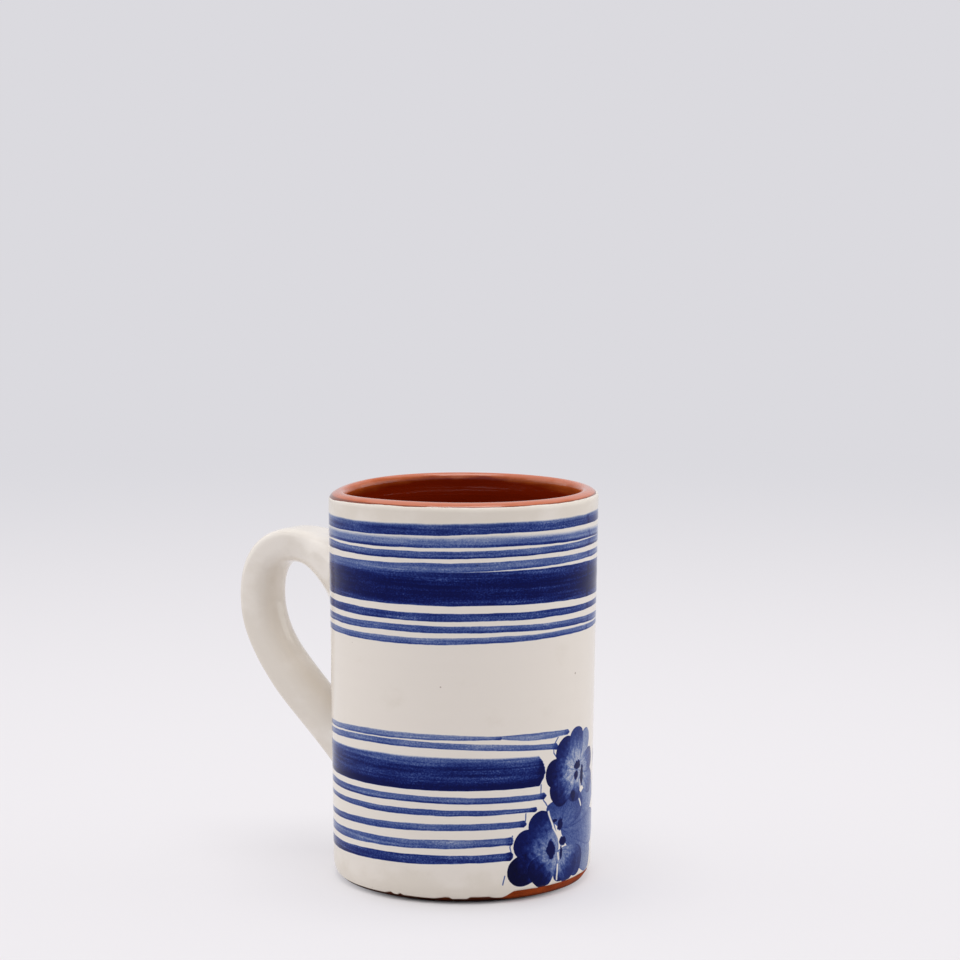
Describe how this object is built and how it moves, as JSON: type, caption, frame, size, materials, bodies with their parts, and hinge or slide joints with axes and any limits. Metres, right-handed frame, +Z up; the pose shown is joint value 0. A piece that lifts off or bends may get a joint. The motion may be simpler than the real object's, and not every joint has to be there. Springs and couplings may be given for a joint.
{
  "type": "mug",
  "caption": "Straight-sided wheel-thrown terracotta mug with a white glazed outside, a bare lip line, hand-painted blue bands and a pulled strap handle.",
  "frame": {"origin": "centre of the flat base, on the cup's axis", "axes": "+Z up along the cup's axis towards the lip; the handle points along -X, so +Y runs across the handle"},
  "size_m": [0.1169, 0.0804, 0.117],
  "materials": {
    "bare_terracotta": "matt fired red clay",
    "clear_glaze": "gloss clear glaze over red clay",
    "white_glaze": "gloss warm white over red clay, with hand-painted cobalt blue bands"
  },
  "bodies": {
    "root": {"thrown_cup": "bare_terracotta", "inner_glaze": "clear_glaze", "white_coat": "white_glaze", "handle": "white_glaze", "upper_handle_join": "white_glaze", "lower_handle_join": "white_glaze"}
  },
  "joints": []
}
